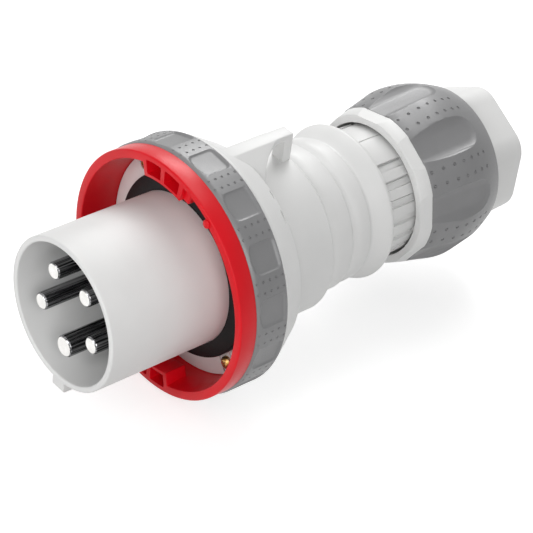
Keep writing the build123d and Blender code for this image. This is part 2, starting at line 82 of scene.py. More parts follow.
def tidyFaces():
    bpy.ops.mesh.select_all(action="SELECT")
    bpy.ops.mesh.remove_doubles(threshold=mm(0.005))
    bpy.ops.mesh.normals_make_consistent(inside=False)


def pickEdges(piece, wanted):
    bpy.ops.mesh.select_mode(type="EDGE")
    bpy.ops.mesh.select_all(action="DESELECT")
    shape = bmesh.from_edit_mesh(piece.data)
    for edge in shape.edges:
        if wanted(edge):
            edge.select_set(True)
    bmesh.update_edit_mesh(piece.data)


def roundRings(piece, corners, size, segments):
    places = {(round(x, 2), round(r, 2)) for x, r in corners}

    def onCorner(edge):
        spots = {(round(v.co.x * 1000, 2), round(math.hypot(v.co.y, v.co.z) * 1000, 2)) for v in edge.verts}
        return len(spots) == 1 and spots <= places

    pickEdges(piece, onCorner)
    bpy.ops.mesh.bevel(offset=mm(size), segments=segments, affect="EDGES")


# outline of (x, radius, rounding) turned round the plug's axis
def turned(name, outline, steps=180, closed=True):
    points = [(x, r, 0) for x, r, _ in outline]
    piece = drawOutline(name, points + points[:1] if closed else points)
    bpy.ops.mesh.spin(steps=steps, angle=2 * math.pi, center=(0, 0, 0), axis=(1, 0, 0))
    tidyFaces()
    for size in sorted({rounding for _, _, rounding in outline if rounding}):
        roundRings(piece, [(x, r) for x, r, rounding in outline if rounding == size], size, 2 if size < 0.5 else 4)
    tidyFaces()
    leaveEdit()
    return piece


# sector of a ring with flat ends, from one angle through a span
def sector(name, front, rear, inner, outer, start, span, steps=12):
    piece = drawOutline(name, [(front, inner, 0), (front, outer, 0), (rear, outer, 0), (rear, inner, 0), (front, inner, 0)])
    bpy.ops.mesh.edge_face_add()
    bpy.ops.mesh.spin(steps=steps, angle=-math.radians(span), center=(0, 0, 0), axis=(1, 0, 0))
    tidyFaces()
    leaveEdit()
    turnMesh(piece, start)
    return piece


# flat outline pushed into a solid, its far end scaled about a point
def pushed(name, points, push, scale=None, about=None):
    piece = drawOutline(name, points + points[:1])
    bpy.ops.mesh.edge_face_add()
    bpy.ops.mesh.extrude_region_move(TRANSFORM_OT_translate={"value": [mm(v) for v in push]})
    if scale:
        bpy.ops.transform.resize(value=scale, center_override=[mm(v) for v in about])
    tidyFaces()
    leaveEdit()
    return piece


def turnMesh(piece, angle):
    piece.data.transform(Matrix.Rotation(math.radians(angle), 4, "X"))
    return piece


def twin(piece, name, turn=0, shift=(0, 0, 0)):
    made = piece.copy()
    made.data = piece.data.copy()
    made.name = made.data.name = name
    bpy.context.collection.objects.link(made)
    made.data.transform(Matrix.Translation([mm(v) for v in shift]))
    return turnMesh(made, turn)


def joined(pieces):
    onlyThis(pieces[0])
    for piece in pieces[1:]:
        piece.select_set(True)
    bpy.ops.object.join()
    return pieces[0]


def applied(piece, kind, **settings):
    onlyThis(piece)
    step = piece.modifiers.new("step", kind)
    for key, value in settings.items():
        setattr(step, key, value)
    bpy.ops.object.modifier_apply(modifier=step.name)


def carve(piece, tool, operation="DIFFERENCE"):
    applied(piece, "BOOLEAN", operation=operation, object=tool, solver="EXACT")
    bpy.data.objects.remove(tool)


def softenEdges(piece, size, segments=2, angle=34):
    applied(piece, "BEVEL", width=mm(size), segments=segments, limit_method="ANGLE",
            angle_limit=math.radians(angle), use_clamp_overlap=True)


# low ball that leaves a dimple where it is carved out, its middle at a radius above the axis
def dimpleTool(x, middle, radius):
    bpy.ops.object.select_all(action="DESELECT")
    bpy.ops.mesh.primitive_uv_sphere_add(segments=10, ring_count=6, radius=mm(radius), location=(mm(x), mm(middle), 0))
    bpy.ops.object.transform_apply(location=True, rotation=True, scale=True)
    return bpy.context.object


def settle(piece, finish, slotName, body, *nodes, angle=32):
    edit(piece)
    bpy.ops.mesh.remove_doubles(threshold=mm(0.002))
    leaveEdit()
    onlyThis(piece)
    bpy.ops.object.shade_smooth_by_angle(angle=math.radians(angle))
    piece.data.materials.clear()
    piece.data.materials.append(finish)
    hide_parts(*nodes)
    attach(piece, body)


# Materials

def linear(code):
    channels = [int(code[i : i + 2], 16) / 255 for i in (1, 3, 5)]
    return [c / 12.92 if c <= 0.04045 else ((c + 0.055) / 1.055) ** 2.4 for c in channels] + [1]


def addNode(tree, kind, inputs=None, **settings):
    node = tree.nodes.new(kind)
    for key, value in settings.items():
        setattr(node, key, value)
    for socket, value in (inputs or {}).items():
        if isinstance(value, bpy.types.NodeSocket):
            tree.links.new(value, node.inputs[socket])
        else:
            node.inputs[socket].default_value = value
    return node


def newMaterial(name):
    material = bpy.data.materials.new(name)
    material.use_nodes = True
    tree = material.node_tree
    shader = tree.nodes["Principled BSDF"]
    place = addNode(tree, "ShaderNodeTexCoord").outputs["Object"]
    return material, tree, shader, place


# injection-moulded plastic: faint flow marks in the colour, spark-eroded grain in gloss and bump
def mouldedPlastic(name, look):
    material, tree, shader, place = newMaterial(name)
    flow = addNode(tree, "ShaderNodeTexNoise", {"Vector": place, "Scale": 1000 / look["flowSize"], "Detail": 3.0})
    tone = addNode(tree, "ShaderNodeValToRGB", {"Fac": flow.outputs["Fac"]})
    tone.color_ramp.elements[0].position = 0.35
    tone.color_ramp.elements[1].position = 0.65
    tone.color_ramp.elements[0].color = linear(look["shade"])
    tone.color_ramp.elements[1].color = linear(look["colour"])
    tree.links.new(tone.outputs["Color"], shader.inputs["Base Color"])
    grain = addNode(tree, "ShaderNodeTexNoise", {"Vector": place, "Scale": 1000 / look["grainSize"], "Detail": 2.0})
    gloss = addNode(tree, "ShaderNodeMapRange", {
        "Value": grain.outputs["Fac"], "From Min": 0.3, "From Max": 0.7,
        "To Min": look["roughness"] - 0.05, "To Max": look["roughness"] + 0.06})
    tree.links.new(gloss.outputs["Result"], shader.inputs["Roughness"])
    bump = addNode(tree, "ShaderNodeBump", {
        "Height": grain.outputs["Fac"], "Strength": look["grainStrength"], "Distance": mm(look["grainDepth"])})
    tree.links.new(bump.outputs["Normal"], shader.inputs["Normal"])
    shader.inputs["IOR"].default_value = look["ior"]
    shader.inputs["Specular IOR Level"].default_value = look.get("specular", 0.5)
    return material


# turned or rolled metal: fine tool lines round the part, worn gloss in patches; where the cloud is stretched along the
# axis, its patches become painted reflection streaks
def platedMetal(name, look):
    material, tree, shader, place = newMaterial(name)
    shader.inputs["Metallic"].default_value = 1.0
    along = addNode(tree, "ShaderNodeMapping", {"Vector": place, "Scale": (look.get("stretch", 1.0), 1.0, 1.0)}).outputs["Vector"]
    cloud = addNode(tree, "ShaderNodeTexNoise", {"Vector": along, "Scale": 1000 / look["cloudSize"], "Detail": 3.0})
    tone = addNode(tree, "ShaderNodeValToRGB", {"Fac": cloud.outputs["Fac"]})
    tone.color_ramp.elements[0].position = 0.38
    tone.color_ramp.elements[1].position = 0.62
    tone.color_ramp.elements[0].color = linear(look["shade"])
    tone.color_ramp.elements[1].color = linear(look["colour"])
    tree.links.new(tone.outputs["Color"], shader.inputs["Base Color"])
    gloss = addNode(tree, "ShaderNodeMapRange", {
        "Value": cloud.outputs["Fac"], "From Min": 0.3, "From Max": 0.7,
        "To Min": look["roughness"] - 0.03, "To Max": look["roughness"] + 0.05})
    tree.links.new(gloss.outputs["Result"], shader.inputs["Roughness"])
    lines = addNode(tree, "ShaderNodeTexNoise", {"Scale": 1000 / look["linePitch"], "Detail": 1.0}, noise_dimensions="1D")
    apart = addNode(tree, "ShaderNodeSeparateXYZ", {"Vector": place})
    tree.links.new(apart.outputs["X"], lines.inputs["W"])
    bump = addNode(tree, "ShaderNodeBump", {
        "Height": lines.outputs["Fac"], "Strength": look["lineStrength"], "Distance": mm(look["lineDepth"])})
    tree.links.new(bump.outputs["Normal"], shader.inputs["Normal"])
    return material


# PA6 shell, satin near-white: highlights are broad and soft, the grain shows only close by
whiteShell = mouldedPlastic("mouldedPolyamideWhite", dict(
    colour="#E6E6E5", shade="#E1E1E0", flowSize=30, grainSize=0.5, grainStrength=0.12, grainDepth=0.03,
    roughness=0.42, ior=1.53, specular=0.35))
# PBT locking ring, clean signal red with crisp, slightly warm highlights
redRing = mouldedPlastic("mouldedPolyesterRed", dict(
    colour="#DE0A1C", shade="#D40918", flowSize=25, grainSize=0.5, grainStrength=0.08, grainDepth=0.03,
    roughness=0.34, ior=1.55, specular=0.2))
# TPE overmould, mid grey and dull, its grain coarser than the shell's
softGrip = mouldedPlastic("overmouldedElastomerGrey", dict(
    colour="#787879", shade="#727273", flowSize=20, grainSize=0.6, grainStrength=0.25, grainDepth=0.04,
    roughness=0.42, ior=1.50, specular=0.8))
# EPDM gasket, punched from sheet: nearly black and matt
blackRubber = mouldedPlastic("sheetRubberBlack", dict(
    colour="#151516", shade="#0F0F10", flowSize=8, grainSize=0.7, grainStrength=0.3, grainDepth=0.05,
    roughness=0.62, ior=1.52, specular=0.2))
# glass-filled PA6 insulators, light grey, a little mottled by the fibres
greyInsulator = mouldedPlastic("glassFilledPolyamideGrey", dict(
    colour="#B9BABB", shade="#ACADAE", flowSize=6, grainSize=0.6, grainStrength=0.25, grainDepth=0.05, roughness=0.5, ior=1.55))
# acetal clamp and washer, black and waxy
clampPlastic = mouldedPlastic("mouldedAcetalBlack", dict(
    colour="#26272A", shade="#202124", flowSize=12, grainSize=0.5, grainStrength=0.15, grainDepth=0.03, roughness=0.4, ior=1.48))
# bright nickel on turned brass: near mirror, with turning lines 0.2 mm apart
nickelPlate = platedMetal("nickelPlatedBrass", dict(
    colour="#E8E7E5", shade="#DDDCD9", cloudSize=6, linePitch=0.2, lineStrength=0.25, lineDepth=0.004, roughness=0.16))
# the pins' barrels: painted reflection, a near-black base with painted light streaks 0.8 mm wide along them, standing
# in for dark and bright surroundings mirrored in the metal
barrelPaintedReflection = platedMetal("nickelBarrelPaintedReflection", dict(
    colour="#A2A2A4", shade="#0D0D0E", cloudSize=0.7, stretch=0.02, linePitch=0.2, lineStrength=0.1, lineDepth=0.003, roughness=0.18))
# yellow chromate on zinc: gold with rosy and greenish patches
yellowZinc = platedMetal("yellowChromatedZinc", dict(
    colour="#D3A95C", shade="#B98B6A", cloudSize=2, linePitch=0.25, lineStrength=0.3, lineDepth=0.005, roughness=0.28))
# zinc-plated steel screws inside
zincSteel = platedMetal("zincPlatedSteel", dict(
    colour="#B4B7BA", shade="#A4A7AB", cloudSize=3, linePitch=0.25, lineStrength=0.3, lineDepth=0.005, roughness=0.3))
print("materials ready")


# Camera, at the photograph's angle
cameraPlace = dict(place=(-466.7, -577.1, 592.9), turn=(52.885, -6.619, -40.319), sensor=36.0, lens=152.9)
bpy.ops.object.camera_add(location=[mm(v) for v in cameraPlace["place"]], rotation=[math.radians(a) for a in cameraPlace["turn"]])
camera = bpy.context.object
camera.data.sensor_width = cameraPlace["sensor"]
camera.data.lens = cameraPlace["lens"]
camera.data.clip_start = 0.01
bpy.context.scene.camera = camera

# Sleeve: shroud, key rib underneath, inner flange and the tube inside the body
sleeveSizes = dict(
    outer=35.0, bore=32.2, lip=0.9, cavity=62.0, flange=68.0, flangeRear=71.2, flangeOuter=51.5, tubeEnd=84.0, tubeBore=33.1,
    keyHalf=4.0, keyTop=41.0, keyStart=1.0, keyEnd=60.0, keyNose=1.0, keyDrop=0.5, notchStart=6.5, notchEnd=9.5, notchDepth=3.0,
    padHalf=5.4, padInner=42.8, padGroove=1.4, padGrooveSpan=1.3)
s = sleeveSizes
sleeve = turned("sleeveShell", [
    (0, s["bore"], s["lip"]), (0, s["outer"], s["lip"]), (s["flange"], s["outer"], 0), (s["flange"], s["flangeOuter"], 0.3),
    (s["flangeRear"], s["flangeOuter"], 0.3), (s["flangeRear"], s["outer"], 0), (s["tubeEnd"], s["outer"], 0.4),
    (s["tubeEnd"], s["tubeBore"], 0), (s["cavity"], s["tubeBore"], 0), (s["cavity"], s["bore"], 0)])
root = s["outer"] - 1
key = pushed("keyRib", [(x, -s["keyHalf"], -z) for x, z in [
    (s["keyStart"], root), (s["keyStart"], s["keyTop"] - s["keyNose"]), (s["keyStart"] + s["keyNose"], s["keyTop"]),
    (s["notchStart"], s["keyTop"]), (s["notchStart"], s["keyTop"] - s["notchDepth"]), (s["notchEnd"], s["keyTop"] - s["notchDepth"]),
    (s["notchEnd"] + s["keyNose"], s["keyTop"] - s["keyDrop"]), (s["keyEnd"], s["keyTop"] - s["keyDrop"]), (s["keyEnd"], root)]],
    (0, 2 * s["keyHalf"], 0))
softenEdges(key, 0.45, 3)
carve(sleeve, key, "UNION")
grooves = []
for corner in (45, 135, 225, 315):
    for side in (-s["padHalf"], s["padHalf"]):
        start = corner + side - s["padGrooveSpan"] / 2
        grooves.append(sector("padGroove", s["flange"] - 1, s["flange"] + s["padGroove"], s["padInner"], s["flangeOuter"] + 1,
                              start, s["padGrooveSpan"], 2))
carve(sleeve, joined(grooves))
settle(sleeve, whiteShell, "white_shell", "plug_body", "sleeve")
print("sleeve done")

# Gasket in front of the inner flange
gasketSizes = dict(lip=62.0, front=64.3, rear=68.0, bore=35.1, outer=42.5, edge=0.5)
g = gasketSizes
gasket = turned("flangeGasket", [
    (g["lip"], g["bore"], 0.2), (g["lip"] + 0.2, g["bore"] + 0.8, 0.2), (g["front"], g["outer"], g["edge"]),
    (g["rear"], g["outer"], 0), (g["rear"], g["bore"], 0)])
settle(gasket, blackRubber, "gasket_rubber", "plug_body", "flange_gasket")

# Flange screws: pan head with a cross recess
screwSizes = dict(circle=46.5, seat=68.0, head=2.2, headRadius=3.1, shank=1.75, end=79.0, slot=0.75, slotLength=3.6, slotDepth=1.3, slotTaper=0.55)
squareCorners = [(-1, -1), (1, -1), (1, 1), (-1, 1)]
c = screwSizes
screw = turned("flangeScrew", [
    (c["seat"] - c["head"], 0, 0), (c["seat"] - c["head"], 1.7, 0), (c["seat"] - c["head"] + 0.5, c["headRadius"] - 0.5, 0.8),
    (c["seat"] - 0.9, c["headRadius"], 0.4), (c["seat"] - 0.05, c["headRadius"], 0), (c["seat"] - 0.05, c["shank"], 0),
    (c["end"] - 1.5, c["shank"], 0), (c["end"], 0.4, 0), (c["end"], 0, 0)], steps=36, closed=False)
for across, along in ((c["slot"], c["slotLength"]), (c["slotLength"], c["slot"])):
    front = c["seat"] - c["head"] - 1
    corners = [(front, y * across / 2, z * along / 2) for y, z in squareCorners]
    blade = pushed("crossRecess", corners, (1 + c["slotDepth"], 0, 0), (1, c["slotTaper"], c["slotTaper"]), (front, 0, 0))
    carve(screw, blade)
for number, (corner, turn) in enumerate([(45, 12), (135, 64), (225, 35), (315, 80)], 1):
    one = twin(screw, f"flangeScrew{number}", turn)
    corner = math.radians(corner)
    one.data.transform(Matrix.Translation((0, mm(c["circle"]) * math.cos(corner), mm(c["circle"]) * math.sin(corner))))
    settle(one, yellowZinc, "screw_brass", "plug_body", "flange_screws")
bpy.data.objects.remove(screw)
print("gasket and screws done")

# Contact pins, each with its box terminal behind the carrier
pinSizes = dict(
    circle=18.4, tip=2.5, chamfer=0.8, paintedStreakOffset=0.25, seat=62.0, seatStep=0.6, seatEnd=84.0,
    terminal=11.0, terminalEnd=104.0, window=6.8, windowDepth=14.0)
p = pinSizes
pinPlaces = [("pin_earth", 5.0, -90), ("pin_neutral", 4.0, -18), ("pin_l3", 4.0, 54), ("pin_l2", 4.0, 126), ("pin_l1", 4.0, 198)]
for name, radius, angle in pinPlaces:
    pin = turned(name + "Contact", [
        (p["tip"], 0, 0), (p["tip"], radius - p["chamfer"], 0.3), (p["tip"] + p["chamfer"], radius, 0.3), (p["seat"], radius, 0),
        (p["seat"], radius + p["seatStep"], 0), (p["seatEnd"], radius + p["seatStep"], 0), (p["seatEnd"], 0, 0)], steps=64, closed=False)
    half, wire = p["terminal"] / 2, p["window"] / 2
    corners = [(p["seatEnd"], y * half, z * half) for y, z in squareCorners]
    box = pushed("terminal", corners, (p["terminalEnd"] - p["seatEnd"], 0, 0))
    softenEdges(box, 0.6)
    rear = p["terminalEnd"] + 1
    carve(box, pushed("wireWindow", [(rear, y * wire, z * wire) for y, z in squareCorners], (-p["windowDepth"] - 1, 0, 0)))
    pin = joined([pin, box])
    pin.data.transform(Matrix.Translation((0, mm(p["circle"]), 0)))
    turnMesh(pin, angle)
    settle(pin, nickelPlate, "nickel", "plug_body", name)
    # the barrel behind the tip takes the painted reflection material, near-black with painted light streaks; the tip
    # keeps the plain nickel
    pin.data.materials.append(barrelPaintedReflection)
    for face in pin.data.polygons:
        face.material_index = int(face.center.x > mm(p["tip"] + p["paintedStreakOffset"]))
print("pins done")

# Locking ring: two cored bayonet blocks, a mark nub and a lip behind the inner flange
ringSizes = dict(
    front=50.0, outer=57.3, bore=53.1, seat=51.8, seatFront=67.0, seatRear=71.5, lip=49.9, rear=75.7, core=55.9, gripFront=58.6,
    edge=0.7, blockInner=47.0, blockRear=61.0, blockStart=73.0, blockSpan=29.0, blockRim=1.5, divider=2.2, cells=2, cellFloor=57.6,
    cellTop=54.9, noseFront=52.0, noseStart=20.0, noseSpan=33.2, noseRound=1.3, reliefDepth=8.0, reliefStart=5.0, reliefEnd=121.0,
    nubAngle=121.6, nubRadius=2.0, nubFront=49.0, nubEnd=53.0, nubPlace=54.0, stopDepth=2.2, stopOuter=53.4, stopStart=19.5, stopSpan=52.0)
r = ringSizes
ring = turned("lockingRing", [
    (r["front"], r["bore"], 0.5), (r["front"], r["outer"], r["edge"]), (r["gripFront"], r["outer"], 0.2), (r["gripFront"], r["core"], 0),
    (r["rear"], r["core"], 0), (r["rear"], r["lip"], 0.3), (r["seatRear"], r["lip"], 0.3), (r["seatRear"], r["seat"], 0),
    (r["seatFront"], r["seat"], 0)], steps=240)
wallAngle = math.degrees(r["divider"] / r["blockInner"])
cellAngle = (r["blockSpan"] - wallAngle) / r["cells"] - wallAngle
for half in (0, 180):
    blockStart = r["blockStart"] + half
    block = sector("bayonetBlock", r["front"], r["blockRear"], r["blockInner"], r["cellTop"] + 0.5, blockStart, r["blockSpan"], 24)
    softenEdges(block, 0.35)
    nose = sector("blockNose", r["noseFront"], r["blockRear"] - 0.1, r["blockInner"] + 0.1, r["cellTop"] + 1.5,
                  blockStart + r["noseStart"], r["noseSpan"] - r["noseStart"], 12)
    softenEdges(nose, r["noseRound"], 4)
    carve(ring, sector("relief", r["front"] - 1, r["front"] + r["reliefDepth"], r["bore"] - 1, r["cellTop"],
                       blockStart + r["reliefStart"], r["reliefEnd"] - r["blockStart"] - r["reliefStart"], 30))
    carve(ring, block, "UNION")
    carve(ring, nose, "UNION")
    cells = []
    for i in range(r["cells"]):
        start = blockStart + wallAngle + i * (cellAngle + wallAngle)
        cell = sector("cell", r["front"] - 1, r["cellFloor"], r["blockInner"] + r["blockRim"], r["cellTop"], start, cellAngle, 10)
        softenEdges(cell, 0.5, 3)
        cells.append(cell)
    carve(ring, joined(cells))
bpy.ops.object.select_all(action="DESELECT")
bpy.ops.mesh.primitive_cylinder_add(
    vertices=24, radius=mm(r["nubRadius"]), depth=mm(r["nubEnd"] - r["nubFront"]),
    location=(mm((r["nubFront"] + r["nubEnd"]) / 2), mm(r["nubPlace"]), 0), rotation=(0, math.pi / 2, 0))
nub = bpy.context.object
bpy.ops.object.transform_apply(location=True, rotation=True, scale=True)
softenEdges(nub, 0.7, 3)
carve(ring, turnMesh(nub, r["nubAngle"]), "UNION")
carve(ring, sector("stopSlot", r["rear"] - r["stopDepth"], r["rear"] + 1, r["lip"] - 1, r["stopOuter"],
                   r["stopStart"], r["stopSpan"], 24))
settle(ring, redRing, "red_ring", "locking_ring", "bayonet_ring")
print("locking ring done")

# Grip on the locking ring: shallow recesses between ribs with two rows of dots
ringGripSizes = dict(
    front=58.6, rear=75.7, inner=56.0, foot=57.3, outer=58.1, bevel=1.6, recesses=15, recessHalf=6.2, recessFloor=57.0, wallHeight=2.0,
    wallSpread=1.9, cornerRound=1.6, footRound=0.5, recessStart=62.2, recessEnd=73.6, bow=1.3,
    dotStart=60.0, dotPitch=3.5, dots=5, dotAngle=2.4, dotRadius=0.62, dotDepth=0.6)
k = ringGripSizes
grip = turned("lockingRingGrip", [
    (k["front"], k["inner"], 0), (k["front"], k["foot"], 0.2), (k["front"] + k["bevel"], k["outer"], 0.6),
    (k["rear"] - k["bevel"] / 2, k["outer"], 0.4), (k["rear"], k["outer"] - k["bevel"] / 2, 0.4), (k["rear"], k["inner"], 0)], steps=240)
bowed = [(k["recessStart"] - k["bow"] * (1 - (t / 4) ** 2), t / 4 * k["recessHalf"]) for t in range(-4, 5)]
middle = (k["recessStart"] + k["recessEnd"]) / 2
recessOutline = bowed + [(k["recessEnd"], k["recessHalf"]), (k["recessEnd"], -k["recessHalf"])]
recess = pushed("recess", [(x, y, k["recessFloor"]) for x, y in recessOutline], (0, 0, k["wallHeight"]),
                (1 + k["wallSpread"] / (k["recessEnd"] - middle), 1 + k["wallSpread"] / k["recessHalf"], 1),
                (middle, 0, k["recessFloor"]))
edit(recess)
pickEdges(recess, lambda edge: abs(edge.verts[0].co.z - edge.verts[1].co.z) > mm(1)
          and min(abs(v.co.y) for v in edge.verts) > mm(k["recessHalf"] - 0.01))
bpy.ops.mesh.bevel(offset=mm(k["cornerRound"]), segments=4, affect="EDGES")
pickEdges(recess, lambda edge: all(v.co.z < mm(k["recessFloor"] + 0.01) for v in edge.verts))
bpy.ops.mesh.bevel(offset=mm(k["footRound"]), segments=3, affect="EDGES")
tidyFaces()
leaveEdit()
turnMesh(recess, -90)
carve(grip, joined([twin(recess, "recess", i * 360 / k["recesses"]) for i in range(k["recesses"])]))
bpy.data.objects.remove(recess)
softenEdges(grip, 0.3)
dot = dimpleTool(k["dotStart"], k["outer"] + k["dotRadius"] - k["dotDepth"], k["dotRadius"])
dots = []
for rib in range(k["recesses"]):
    for side in (-k["dotAngle"], k["dotAngle"]):
        for i in range(k["dots"]):
            dots.append(twin(dot, "dot", (rib + 0.5) * 360 / k["recesses"] + side, (i * k["dotPitch"], 0, 0)))
bpy.data.objects.remove(dot)
carve(grip, joined(dots))
settle(grip, softGrip, "grey_grip", "locking_ring", "ring_grip")
print("ring grip done")

# Handle body: flange, barrel with corrugations, splined spigot, lanyard eye
bodySizes = dict(
    face=72.4, bore=35.1, boss=49.6, front=76.0, flange=56.6, flangeEdge=77.5, rim=90.2, rimRadius=49.2, rimRear=91.2,
    barrel=39.5, barrelEnd=119.5, barrelEdge=1.6, end=157.5, spigot=31.0, threadStart=176.5, thread=30.2, spigotEnd=196.0,
    spigotBore=27.0, boreEnd=150.0, chamberEnd=116.0, chamber=33.0, tubeEnd=84.0,
    channels=9, channelPitch=360 / 22, channelSpan=7.6, channelDepth=1.7,
    undercutSpan=1.7, undercut=2.9, groove=0.6, grooveStart=91, grooveSpan=1.1)
corrugations = [
    (120.4, 33.6, 0.8), (125.6, 35.3, 1.6), (133.6, 35.0, 0.4), (135.2, 32.8, 0.8), (139.4, 34.3, 1.6),
    (145.0, 33.9, 0.4), (146.6, 32.8, 0.8), (152.0, 35.4, 1.6), (155.9, 37.0, 0.8), (157.5, 36.2, 0.4)]
b = bodySizes
body = turned("handleBody", [
    (b["face"], b["bore"], 0), (b["face"], b["boss"], 0.2), (b["front"], b["boss"], 0), (b["front"], b["flange"], 0.4),
    (b["flangeEdge"], b["flange"], 0.6), (b["rim"], b["rimRadius"], 0.8), (b["rimRear"], b["rimRadius"] - 1, 0.4),
    (b["rimRear"], b["barrel"], 0.8),
    (b["barrelEnd"] - b["barrelEdge"], b["barrel"], 0.4), (b["barrelEnd"], b["barrel"] - b["barrelEdge"], 0.4)] + corrugations + [
    (b["end"], b["spigot"], 0), (b["threadStart"], b["spigot"], 0.2), (b["threadStart"], b["thread"], 0), (b["spigotEnd"], b["thread"], 0.4),
    (b["spigotEnd"], b["spigotBore"], 0.4), (b["boreEnd"], b["spigotBore"], 0), (b["chamberEnd"], b["chamber"], 0),
    (b["tubeEnd"], b["chamber"], 0), (b["tubeEnd"], b["bore"], 0)], steps=240)
# each channel has an undercut along its upper edge; they overlap, so they are carved one after the other
channels, undercuts = [], []
for i in range(-b["channels"], b["channels"] + 1):
    start = -90 + i * b["channelPitch"] - b["channelSpan"] / 2
    channels.append(sector("channel", b["end"] - 0.5, b["threadStart"] + 1, b["spigot"] - b["channelDepth"], b["spigot"] + 2,
                           start, b["channelSpan"], 6))
    upper = start - 0.2 if i < 0 else start + b["channelSpan"] - b["undercutSpan"] + 0.2
    undercuts.append(sector("undercut", b["end"] - 0.3, b["threadStart"] + 0.8, b["spigot"] - b["undercut"], b["spigot"] + 1.5,
                            upper, b["undercutSpan"], 2))
channels.append(sector("groove", b["end"] - 0.5, b["threadStart"] + 1, b["spigot"] - b["groove"], b["spigot"] + 1,
                       b["grooveStart"], b["grooveSpan"], 2))
carve(body, joined(channels))
carve(body, joined(undercuts))
carve(body, sector("stopPeg", b["front"] - 1.9, b["front"] + 0.5, b["boss"] - 1, 53.1, 20, 6, 8), "UNION")
rimSlots = dict(x=89.3, radius=49.4, width=0.75, depth=1.6, places=[(118.7, 2.0), (131.0, 3.2)])
for angle, halfLength in rimSlots["places"]:
    bpy.ops.object.select_all(action="DESELECT")
    bpy.ops.mesh.primitive_uv_sphere_add(segments=24, ring_count=12, radius=mm(1), location=(0, 0, 0))
    slot = bpy.context.object
    edit(slot)
    bpy.ops.transform.resize(value=(rimSlots["width"], rimSlots["depth"], halfLength), center_override=(0, 0, 0))
    bpy.ops.transform.rotate(value=math.radians(30), orient_axis="Z", center_override=(0, 0, 0))
    bpy.ops.transform.translate(value=(mm(rimSlots["x"]), mm(rimSlots["radius"]), 0))
    leaveEdit()
    carve(body, turnMesh(slot, angle))

eyeSizes = dict(
    front=80.0, rear=118.0, top=52.9, wall=2.7, tipHalf=3.4, baseHalf=18.5, shoulder=91.5, neck=108.5, bend=100.6, bendHalf=7.6,
    post=113.2, archFoot=95.0, archBend=98.6, archBendTop=47.0, archSpring=106.0, root=38.5)
e = eyeSizes


# points of the arc through three points
def arcThrough(a, m, z, count=10):
    (ax, ay), (bx, by), (cx, cy) = a, m, z
    d = 2 * (ax * (by - cy) + bx * (cy - ay) + cx * (ay - by))
    ux = ((ax**2 + ay**2) * (by - cy) + (bx**2 + by**2) * (cy - ay) + (cx**2 + cy**2) * (ay - by)) / d
    uy = ((ax**2 + ay**2) * (cx - bx) + (bx**2 + by**2) * (ax - cx) + (cx**2 + cy**2) * (bx - ax)) / d
    first, middle, last = [math.atan2(y - uy, x - ux) for x, y in (a, m, z)]
    if not min(first, last) < middle < max(first, last):
        last += 2 * math.pi * (1 if last < first else -1)
    radius = math.hypot(ax - ux, ay - uy)
    turns = [first + (last - first) * i / count for i in range(count + 1)]
    return [(ux + radius * math.cos(turn), uy + radius * math.sin(turn)) for turn in turns]


curve = arcThrough((e["shoulder"], e["baseHalf"]), (e["bend"], e["bendHalf"]), (e["neck"], e["tipHalf"]), 12)
plan = [(e["front"], e["baseHalf"])] + curve + [(e["rear"], e["tipHalf"])]
plan += [(x, -y) for x, y in reversed(plan)]
hood = pushed("lanyardEye", [(x, y, e["root"] - 6) for x, y in plan], (0, 0, e["top"] - e["root"] + 6))
edit(hood)
for side in (1, -1):  # sides sloped at 45 degrees from the ridge
    bpy.ops.mesh.select_all(action="SELECT")
    bpy.ops.mesh.bisect(plane_co=(0, mm(side * e["tipHalf"]), mm(e["top"])), plane_no=(0, side, 1), use_fill=True, clear_outer=True)
tidyFaces()
leaveEdit()
softenEdges(hood, 0.45, 3)
archTop = e["top"] - e["wall"]
arch = arcThrough((e["archFoot"], b["barrel"]), (e["archBend"], e["archBendTop"]), (e["archSpring"], archTop), 12)
wayOutline = [(e["archFoot"], 20)] + arch + [(e["post"], archTop), (e["post"], 20)]
way = pushed("archWay", [(x, -25, z) for x, z in wayOutline], (0, 50, 0))
softenEdges(way, 0.5, 3)
carve(hood, way)
carve(hood, turned("barrelRoom", [(70, 0, 0), (70, e["root"], 0), (130, e["root"], 0), (130, 0, 0)], steps=120, closed=False))
carve(body, hood, "UNION")
settle(body, whiteShell, "white_shell", "plug_body", "body")
print("body done")

# Gland nut: lobed front ring, core under the grip, hexagonal nose
nutSizes = dict(
    front=174.6, frontRadius=35.8, ringEnd=181.0, ringRadius=37.5, lobes=8, lobeAngle=123.0, flatDrop=0.65, flatRear=36.4, mouth=32.3, mouthEnd=189.0,
    bore=30.5, boreEnd=216.0, core=34.5, coreEnd=222.0, cone=28.6, coneEnd=237.0, coneSmall=20.6, exit=18.0, end=246.0,
    noseFlat=30.4, noseTaper=1.1, noseCorner=13.0, noseAngle=90.0, noseEdge=2.2)
n = nutSizes
nut = turned("glandNut", [
    (n["front"], 20, 0), (n["front"], n["frontRadius"], 0.35), (n["ringEnd"], n["ringRadius"], 0.2), (n["ringEnd"], n["core"], 0),
    (n["coreEnd"], n["core"], 0), (n["coreEnd"], 20, 0)], steps=240)
edit(nut)
slope = (n["flatRear"] - n["frontRadius"] + n["flatDrop"]) / (n["ringEnd"] - n["front"])
for i in range(n["lobes"]):
    turn = math.radians(n["lobeAngle"] + i * 360 / n["lobes"])
    out = Vector((-slope, math.cos(turn), math.sin(turn)))
    low = mm(n["frontRadius"] - n["flatDrop"])
    at = Vector((mm(n["front"]), low * math.cos(turn), low * math.sin(turn)))
    bpy.ops.mesh.select_all(action="SELECT")
    bpy.ops.mesh.bisect(plane_co=at, plane_no=out, use_fill=True, clear_outer=True)
    bpy.ops.mesh.mark_sharp()
tidyFaces()
leaveEdit()
reach = n["noseFlat"] / math.cos(math.pi / 6) - n["noseCorner"] / math.cos(math.pi / 6)
rim = []
